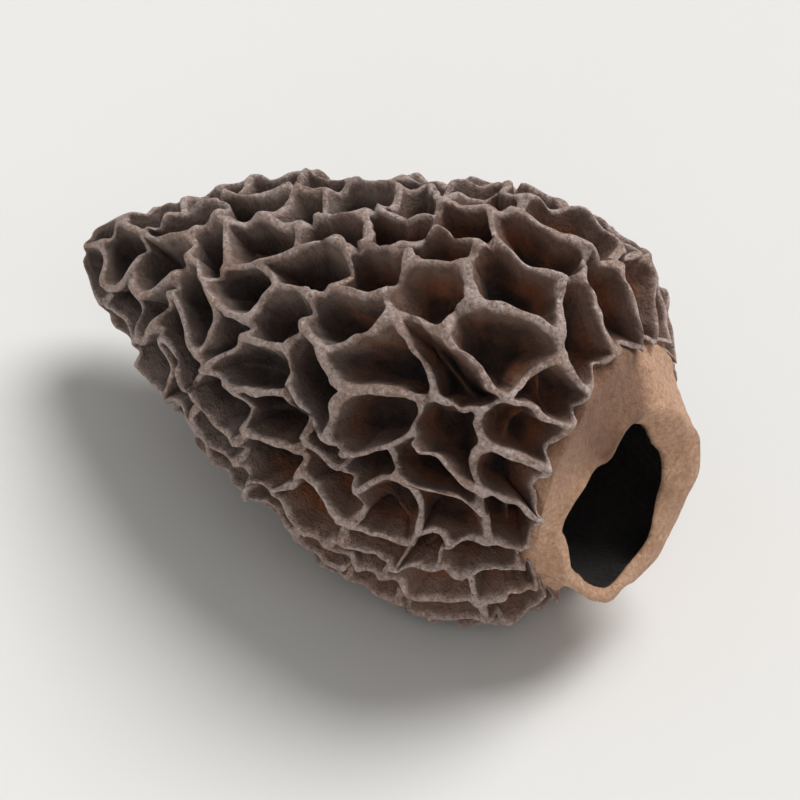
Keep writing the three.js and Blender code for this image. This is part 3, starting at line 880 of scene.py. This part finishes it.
class Nodes:
    """Short ways to build a material's node tree."""

    def __init__(self, name):
        self.material = bpy.data.materials.new(name)
        self.material.use_nodes = True
        self.tree = self.material.node_tree
        self.shader = self.tree.nodes["Principled BSDF"]
        self.where = self.tree.nodes.new("ShaderNodeTexCoord").outputs["Object"]

    def link(self, value, socket):
        """Feeds a socket from another one, or sets it to a plain value."""
        if isinstance(value, bpy.types.NodeSocket):
            self.tree.links.new(value, socket)
        else:
            socket.default_value = value

    def look(self, name):
        node = self.tree.nodes.new("ShaderNodeAttribute")
        node.attribute_name = name
        return node.outputs["Fac"]

    def along(self):
        """The place along the mushroom, in metres from its middle."""
        node = self.tree.nodes.new("ShaderNodeSeparateXYZ")
        self.link(self.where, node.inputs[0])
        return node.outputs["X"]

    def noise(self, size_mm, detail=4.0, roughness=0.55):
        node = self.tree.nodes.new("ShaderNodeTexNoise")
        self.link(self.where, node.inputs["Vector"])
        node.inputs["Scale"].default_value = 1 / (size_mm * MM)
        node.inputs["Detail"].default_value = detail
        node.inputs["Roughness"].default_value = roughness
        return node.outputs["Fac"]

    def ramp(self, value, low, high, out_low=0.0, out_high=1.0):
        """A smooth change from out_low to out_high while the value goes from low to high."""
        node = self.tree.nodes.new("ShaderNodeMapRange")
        node.interpolation_type = "SMOOTHSTEP"
        for socket, number in zip(node.inputs[1:5], (low, high, out_low, out_high)):
            socket.default_value = number
        self.link(value, node.inputs["Value"])
        return node.outputs["Result"]

    def math(self, operation, a, b):
        node = self.tree.nodes.new("ShaderNodeMath")
        node.operation = operation
        self.link(a, node.inputs[0])
        self.link(b, node.inputs[1])
        return node.outputs[0]

    def mix(self, share, a, b):
        node = self.tree.nodes.new("ShaderNodeMix")
        node.data_type = "RGBA"
        self.link(share, node.inputs[0])
        self.link(a, node.inputs[6])
        self.link(b, node.inputs[7])
        return node.outputs[2]

    def bump(self, height, distance_mm, strength, normal=None):
        node = self.tree.nodes.new("ShaderNodeBump")
        node.inputs["Distance"].default_value = distance_mm * MM
        node.inputs["Strength"].default_value = strength
        self.link(height, node.inputs["Height"])
        if normal:
            self.link(normal, node.inputs["Normal"])
        return node.outputs["Normal"]


def colour(srgb):
    """An sRGB colour, given as bytes, as a linear one."""
    def linear(byte):
        share = byte / 255
        return share / 12.92 if share <= 0.04045 else ((share + 0.055) / 1.055) ** 2.4
    return (*map(linear, srgb), 1.0)


def make_flesh():
    """Dried flesh: pale, mealy rims with a painted highlight along their crests, brown walls, floors
    that darken to nearly black partly as painted shade, a tan stem with painted shade on one side, and a
    hollow painted nearly black as shade.
    """
    n = Nodes("dried_morel_flesh")
    rim, depth, stem, inside, painted_side_shade = [n.look(name) for name in LOOKS]
    broad = n.noise(BROAD, 2)
    patchy = n.noise(PATCH, 4)
    fine = n.noise(FINE, 5, 0.65)
    mealy = n.noise(MEAL, 4, 0.7)
    grain = n.noise(GRAIN, 3, 0.7)
    along = n.math("MULTIPLY", n.along(), WARMTH_SLOPE)
    warm = n.ramp(n.math("ADD", broad, along), 0.42, 0.68)
    uneven = n.math("MULTIPLY", n.math("SUBTRACT", fine, 0.5), 0.4)
    down = n.math("ADD", depth, uneven)

    edge = n.mix(n.ramp(patchy, 0.4, 0.65), colour(RIM_GREY), colour(RIM_BROWN))
    edge = n.mix(n.ramp(mealy, 0.48, 0.66), edge, colour(RIM_DARK_SPECK))
    edge = n.mix(n.ramp(mealy, 0.34, 0.46, 1.0, 0.0), edge, colour(RIM_PALE_SPECK))
    wall = n.mix(n.ramp(fine, 0.3, 0.75), colour(WALL_DARK), colour(WALL_PALE))
    wall = n.mix(n.math("MULTIPLY", warm, 0.45), wall, colour(WALL_WARM))
    # Painted shade, in part: the lower walls and floors are the flesh's own browner colour, darkened
    # further with depth as painted shade.
    shaded_low_wall = n.mix(n.ramp(patchy, 0.35, 0.65), colour(SHADED_LOW_WALL_DARK), colour(LOW_WALL_RUSTY))
    shaded_low_wall = n.mix(warm, colour(SHADED_LOW_WALL_COOL), shaded_low_wall)
    shaded_pit_floor = n.mix(n.ramp(patchy, 0.4, 0.7), colour(SHADED_PIT_FLOOR_DARK), colour(SHADED_PIT_FLOOR_PALE))
    cap = n.mix(n.ramp(down, 0.25, 0.6), wall, shaded_low_wall)
    cap = n.mix(n.ramp(down, 0.6, 1.0), cap, shaded_pit_floor)
    # Pale crests: the ridges' own paler flesh plus a painted highlight along the top of each crest.
    pale_crest_and_highlight = n.ramp(n.math("ADD", rim, n.math("MULTIPLY", uneven, 1.6)), 0.15, 0.95)
    cap = n.mix(pale_crest_and_highlight, cap, edge)

    tan = n.mix(n.ramp(mealy, 0.38, 0.62), colour(STEM_TAN), colour(STEM_DARK_SPECK))
    tan = n.mix(n.ramp(mealy, 0.3, 0.42, 1.0, 0.0), tan, colour(STEM_PALE_SPECK))
    tan = n.mix(n.ramp(patchy, 0.52, 0.75, 0.0, 0.6), tan, colour(STEM_STAIN))
    # Painted shade on the side of the stem past the fold.
    shaded = n.mix(n.ramp(fine, 0.3, 0.7), colour(SIDE_SHADE_PALE), colour(SIDE_SHADE_DARK))
    tan = n.mix(n.math("MULTIPLY", painted_side_shade, 0.85), tan, shaded)
    # Painted shade: the lip, the throat and the hollow turn nearly black inside the stem.
    hollow = n.mix(n.ramp(patchy, 0.3, 0.7), colour(HOLLOW_SHADE_DARK), colour(HOLLOW_SHADE_PALE))
    stem_flesh_and_hollow_shade = n.mix(n.ramp(inside, 0.08, 0.36), tan, hollow)
    base = n.mix(n.ramp(n.math("ADD", stem, uneven), 0.35, 0.8), cap, stem_flesh_and_hollow_shade)
    n.link(base, n.shader.inputs["Base Color"])
    n.link(n.ramp(fine, 0.2, 0.8, 0.55, 0.85), n.shader.inputs["Roughness"])
    n.shader.inputs["Specular IOR Level"].default_value = 0.4
    n.shader.inputs["Sheen Weight"].default_value = 0.08
    n.shader.inputs["Sheen Roughness"].default_value = 0.5
    coarse = n.bump(fine, 0.7, 0.9)
    middle = n.bump(mealy, 0.35, 0.9, coarse)
    n.link(n.bump(grain, 0.12, 0.8, middle), n.shader.inputs["Normal"])
    return n.material


def make_floor():
    """A pale floor that curves up into a backdrop all round."""
    radii = [0, FLOOR_RADIUS]
    heights = [0, 0]
    for k in range(1, SWEEP_STEPS + 1):
        turn = math.pi / 2 * k / SWEEP_STEPS
        radii.append(FLOOR_RADIUS + SWEEP_RADIUS * math.sin(turn))
        heights.append(SWEEP_RADIUS * (1 - math.cos(turn)))
    verts = [(0, 0, 0)]
    faces = []
    for r, z in zip(radii[1:], heights[1:]):
        start = len(verts)
        for k in range(SWEEP_SIDES):
            turn = TURN * k / SWEEP_SIDES
            outer = start + k
            outer_next = start + (k + 1) % SWEEP_SIDES
            verts.append((r * math.cos(turn), r * math.sin(turn), z))
            if start == 1:
                faces.append((0, outer, outer_next))
            else:
                faces.append((outer - SWEEP_SIDES, outer, outer_next, outer_next - SWEEP_SIDES))
    mesh = bpy.data.meshes.new("studio_floor")
    mesh.from_pydata(verts, [], faces)
    mesh.shade_smooth()
    floor = bpy.data.objects.new("studio_floor", mesh)
    bpy.context.scene.collection.objects.link(floor)
    n = Nodes("studio_floor")
    n.link(n.mix(n.noise(FLOOR_PATCH, 2), FLOOR_DARK, FLOOR_PALE), n.shader.inputs["Base Color"])
    n.shader.inputs["Roughness"].default_value = 0.7
    mesh.materials.append(n.material)


def aim(obj, target):
    """Turns a camera or a light so that it looks at the target."""
    obj.rotation_euler = (Vector(target) - obj.location).to_track_quat("-Z", "Y").to_euler()


def add_sun(name, towards, strength, softness):
    """A soft light that comes from one direction all over."""
    light = bpy.data.lights.new(name, "SUN")
    light.energy = strength
    light.angle = softness
    obj = bpy.data.objects.new(name, light)
    obj.location = towards
    bpy.context.scene.collection.objects.link(obj)
    aim(obj, (0, 0, 0))


def make_camera(target):
    data = bpy.data.cameras.new("camera")
    data.lens = LENS
    camera = bpy.data.objects.new("camera", data)
    flat = VIEW_DISTANCE * math.cos(VIEW_ELEVATION)
    camera.location = Vector(target) + Vector((
        flat * math.sin(VIEW_AZIMUTH),
        -flat * math.cos(VIEW_AZIMUTH),
        VIEW_DISTANCE * math.sin(VIEW_ELEVATION),
    ))
    bpy.context.scene.collection.objects.link(camera)
    aim(camera, target)
    bpy.context.scene.camera = camera


def make_studio():
    """The floor, a soft light from above and behind, a fainter one from the side, and the sky."""
    make_floor()
    add_sun("key", KEY_FROM, KEY_STRENGTH, KEY_SOFTNESS)
    add_sun("fill", FILL_FROM, FILL_STRENGTH, FILL_SOFTNESS)
    world = bpy.data.worlds.new("studio")
    world.use_nodes = True
    world.node_tree.nodes["Background"].inputs["Color"].default_value = (1, 1, 1, 1)
    world.node_tree.nodes["Background"].inputs["Strength"].default_value = SKY_STRENGTH
    bpy.context.scene.world = world
    bpy.context.scene.view_settings.view_transform = "Standard"


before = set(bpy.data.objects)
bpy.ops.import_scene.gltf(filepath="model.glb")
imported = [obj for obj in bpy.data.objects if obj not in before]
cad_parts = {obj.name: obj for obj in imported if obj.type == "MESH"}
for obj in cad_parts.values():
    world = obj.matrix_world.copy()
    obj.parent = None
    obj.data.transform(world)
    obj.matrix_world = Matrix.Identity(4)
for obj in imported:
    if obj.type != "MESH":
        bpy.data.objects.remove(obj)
cad_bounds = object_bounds()
low, high = cad_bounds
target = [(a + b) / 2 + shift for a, b, shift in zip(low, high, VIEW_SHIFT)]
make_camera(target)
make_studio()

morel = make_mesh_object("dried_morel")
morel.data.materials.append(make_flesh())
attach(morel, "root")
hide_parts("morel")
